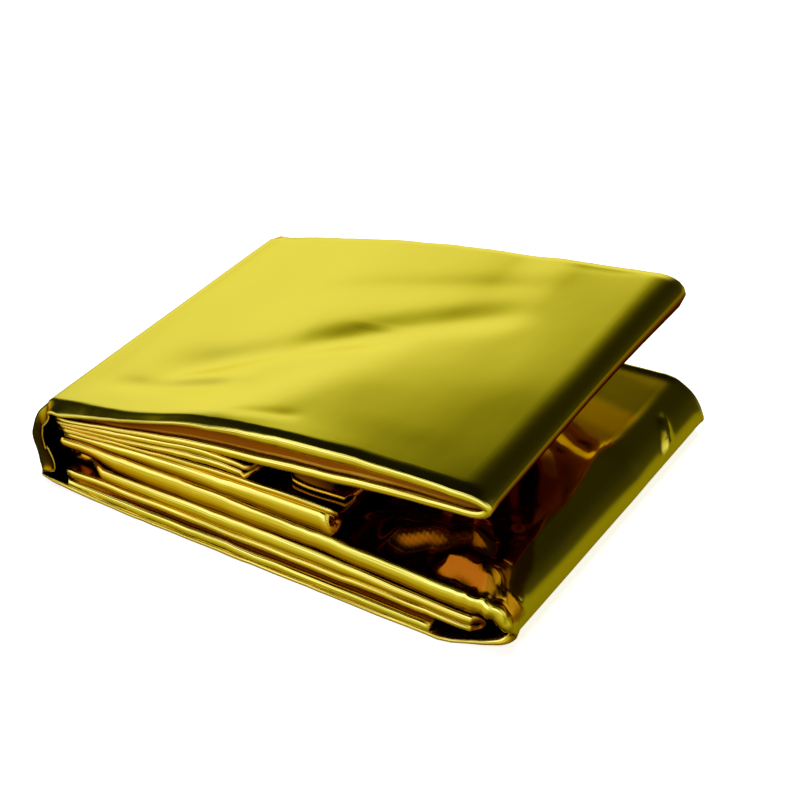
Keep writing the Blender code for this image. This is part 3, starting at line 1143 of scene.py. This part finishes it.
@dataclass(frozen=True)
class Studio:
    """The camera, the pale floor and the light round the packet."""

    azimuth: float = 31.24
    elevation: float = 34.58
    lens: float = 86.83
    sensor: float = 36.0
    camera_place: tuple[float, float, float] = (195.24, -311.30, 269.02)
    back_wall: tuple[tuple[float, float], ...] = (
        (-90.0, 0.1), (-55.0, 0.2), (-35.0, 0.4), (-15.0, 0.6), (-4.0, 0.85), (4.0, 0.92), (14.0, 0.88),
        (21.0, 0.80), (27.0, 0.54), (31.0, 0.31), (35.0, 0.13), (40.0, 0.02), (50.0, 0.006), (90.0, 0.004),
    )
    cards: tuple[Card, ...] = (
        # The dim wall on the left.
        Card((-1.0, 0.0, 0.0), (0.75, 0.88), (
            (-90.0, 0.02), (-24.0, 0.02), (-6.0, 0.05), (4.0, 0.07), (16.0, 0.05), (30.0, 0.01),
            (90.0, 0.004),
        ), levelled=True),
        # The bright card in front.
        Card((-0.35, -0.94, 0.0), (0.3, 0.7), (
            (-90.0, 0.10), (-60.0, 0.2), (-35.0, 0.5), (-12.0, 0.65), (0.0, 1.1), (8.0, 1.5), (22.0, 1.4),
            (32.0, 0.6), (40.0, 0.06), (50.0, 0.008), (90.0, 0.004),
        )),
        # The dim wall on the right.
        Card((0.85, 0.53, 0.0), (0.15, 0.5), (
            (-90.0, 0.1), (-60.0, 0.2), (-35.0, 0.24), (-12.0, 0.26), (-4.0, 0.2), (3.0, 0.04), (30.0, 0.02),
            (90.0, 0.01),
        )),
        # The lit ends on the right and on the left.
        Card((1.0, 0.0, 0.0), (0.8, 0.93), (
            (-90.0, 0.1), (-30.0, 0.24), (-10.0, 0.5), (6.0, 0.85), (22.0, 0.8), (38.0, 0.62), (56.0, 0.3),
            (72.0, 0.02), (90.0, 0.004),
        ), levelled=True),
        Card((-1.0, 0.0, 0.0), (0.955, 0.985), (
            (-90.0, 0.02), (-26.0, 0.02), (-10.0, 0.45), (8.0, 0.6), (20.0, 0.3), (30.0, 0.01),
            (90.0, 0.004),
        ), levelled=True),
    )
    floor_size: float = 6.0
    floor_colour: tuple[float, float, float] = (0.86, 0.86, 0.86)
    floor_roughness: float = 0.9
    floor_glow: float = 0.72
    lamp_size: float = 0.9
    lamp_energy: float = 9.0
    lamp_place: tuple[float, float, float] = (-0.15, 0.1, 1.1)
    dim_green: float = 0.93
    green_full: float = 0.6
    blue_full: float = 0.9
    blue_falls: float = 3.0
    blue_rises: float = 1.2

    def camera(self) -> None:
        """Place the camera and make it the scene's."""
        lens = bpy.data.cameras.new("camera")
        lens.lens = self.lens
        lens.sensor_width = self.sensor
        lens.clip_start = 0.01
        camera = bpy.data.objects.new("camera", lens)
        camera.location = Vector(self.camera_place) * MM
        camera.rotation_euler = (math.radians(90.0 - self.elevation), 0.0, math.radians(self.azimuth))
        bpy.context.collection.objects.link(camera)
        bpy.context.scene.camera = camera

    def floor(self) -> None:
        """Lay the pale floor, which lights itself a little so that it reads as a seamless sweep."""
        bm = bmesh.new()
        bmesh.ops.create_grid(bm, x_segments=1, y_segments=1, size=self.floor_size / 2)
        mesh = bpy.data.meshes.new("floor")
        bm.to_mesh(mesh)
        bm.free()
        floor = bpy.data.objects.new("floor", mesh)
        material = bpy.data.materials.new("floor")
        material.use_nodes = True
        shader = material.node_tree.nodes["Principled BSDF"]
        shader.inputs["Base Color"].default_value = (*self.floor_colour, 1.0)
        shader.inputs["Roughness"].default_value = self.floor_roughness
        shader.inputs["Emission Color"].default_value = (1.0, 1.0, 1.0, 1.0)
        shader.inputs["Emission Strength"].default_value = self.floor_glow
        mesh.materials.append(material)
        floor.visible_glossy = False
        bpy.context.collection.objects.link(floor)
        floor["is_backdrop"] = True

    def world(self) -> None:
        """Make the light tent: bright low walls behind, in front and at both ends, and dark overhead."""
        world = bpy.data.worlds.new("light_tent")
        bpy.context.scene.world = world
        world.use_nodes = True
        tree = world.node_tree
        tree.nodes.clear()
        out = tree.nodes.new("ShaderNodeOutputWorld")
        place = tree.nodes.new("ShaderNodeTexCoord")
        split = tree.nodes.new("ShaderNodeSeparateXYZ")
        tree.links.new(place.outputs["Generated"], split.inputs["Vector"])
        flat = tree.nodes.new("ShaderNodeVectorMath")
        flat.operation = "MULTIPLY"
        flat.inputs[1].default_value = (1.0, 1.0, 0.0)
        tree.links.new(place.outputs["Generated"], flat.inputs[0])
        level = tree.nodes.new("ShaderNodeVectorMath")
        level.operation = "NORMALIZE"
        tree.links.new(flat.outputs["Vector"], level.inputs[0])
        colour = self.ramp(tree, split.outputs["Z"], self.back_wall)
        for card in self.cards:
            heading = level.outputs["Vector"] if card.levelled else place.outputs["Generated"]
            mix = tree.nodes.new("ShaderNodeMix")
            mix.data_type = "RGBA"
            tree.links.new(self.closeness(tree, heading, card), mix.inputs["Factor"])
            tree.links.new(colour, mix.inputs["A"])
            tree.links.new(self.ramp(tree, split.outputs["Z"], card.ramp), mix.inputs["B"])
            colour = mix.outputs["Result"]
        tent = tree.nodes.new("ShaderNodeBackground")
        tree.links.new(colour, tent.inputs["Color"])
        plain = tree.nodes.new("ShaderNodeBackground")
        plain.inputs["Color"].default_value = (1.0, 1.0, 1.0, 1.0)
        path = tree.nodes.new("ShaderNodeLightPath")
        seen = tree.nodes.new("ShaderNodeMixShader")
        tree.links.new(path.outputs["Is Camera Ray"], seen.inputs["Fac"])
        tree.links.new(tent.outputs["Background"], seen.inputs[1])
        tree.links.new(plain.outputs["Background"], seen.inputs[2])
        tree.links.new(seen.outputs["Shader"], out.inputs["Surface"])

    @staticmethod
    def closeness(
        tree: bpy.types.ShaderNodeTree, heading: bpy.types.NodeSocket, card: Card,
    ) -> bpy.types.NodeSocket:
        """Return the socket of a card's share of the light that comes from a heading.

        Args:
            tree: The world's nodes.
            heading: The socket of the heading.
            card: The card.

        Returns:
            The socket, from 0 clear of the card to 1 well inside it.
        """
        side = tree.nodes.new("ShaderNodeVectorMath")
        side.operation = "DOT_PRODUCT"
        side.inputs[1].default_value = card.faces
        tree.links.new(heading, side.inputs[0])
        share = tree.nodes.new("ShaderNodeMapRange")
        share.interpolation_type = "SMOOTHSTEP"
        share.inputs["From Min"].default_value = card.edge[0]
        share.inputs["From Max"].default_value = card.edge[1]
        tree.links.new(side.outputs["Value"], share.inputs["Value"])
        return share.outputs["Result"]

    def ramp(
        self,
        tree: bpy.types.ShaderNodeTree,
        height: bpy.types.NodeSocket,
        stops: tuple[tuple[float, float], ...],
    ) -> bpy.types.NodeSocket:
        """Add a curve of brightness over the height of a direction, warmer where it is dimmer.

        Args:
            tree: The world's nodes.
            height: The height of the direction, from -1 straight down to 1 straight up.
            stops: Pairs of elevation in degrees and brightness.

        Returns:
            The socket that holds the colour.
        """
        scale = tree.nodes.new("ShaderNodeMapRange")
        scale.inputs["From Min"].default_value = -1.0
        tree.links.new(height, scale.inputs["Value"])
        ramp = tree.nodes.new("ShaderNodeValToRGB")
        elements = ramp.color_ramp.elements
        while len(elements) < len(stops):
            elements.new(0.5)
        for element, (degrees, value) in zip(elements, stops):
            element.position = (math.sin(math.radians(degrees)) + 1.0) / 2.0
            green = blend(self.dim_green, 1.0, min(value / self.green_full, 1.0))
            power = self.blue_falls if value < self.blue_full else self.blue_rises
            blue = (value / self.blue_full) ** power
            element.color = (value, value * green, value * blue, 1.0)
        tree.links.new(scale.outputs["Result"], ramp.inputs["Fac"])
        return ramp.outputs["Color"]

    def lights(self) -> None:
        """Hang a wide soft light that whitens the floor."""
        light = bpy.data.lights.new("soft_top", "AREA")
        light.shape = "DISK"
        light.size = self.lamp_size
        light.energy = self.lamp_energy
        lamp = bpy.data.objects.new("soft_top", light)
        lamp.location = self.lamp_place
        lamp.visible_glossy = False
        bpy.context.collection.objects.link(lamp)


def write_sizes(box: Callable[[], tuple], cad_box: tuple) -> None:
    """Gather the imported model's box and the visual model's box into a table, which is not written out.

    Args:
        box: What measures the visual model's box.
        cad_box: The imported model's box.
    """
    boxes = {"cad": [list(map(float, corner)) for corner in cad_box],
             "visual": [list(map(float, corner)) for corner in box()]}


def main() -> None:
    """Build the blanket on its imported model, dress it, and light it."""
    logging.basicConfig(level=logging.INFO)
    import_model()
    cad_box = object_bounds()
    studio = Studio()
    studio.camera()
    studio.world()
    studio.lights()
    studio.floor()
    low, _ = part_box("blanket")
    origin = Vector((low[0] + SPINE_REACH * MM, low[1] + NEAR_GAP * MM, 0.0))
    strip = FoldedStrip()
    blanket = FoilBlanket(strip, origin, GoldFilm())
    piece = blanket.build()
    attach(piece, "root")
    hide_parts("blanket")
    length = strip.section()[-1].run
    triangles = sum(len(face.vertices) - 2 for face in piece.data.polygons)
    LOG.info("%s: %d triangles, strip %.0f mm long", piece.name, triangles, length)
    bpy.context.scene.view_settings.view_transform = "Standard"
    write_sizes(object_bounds, cad_box)


if __name__ == "__main__":
    main()
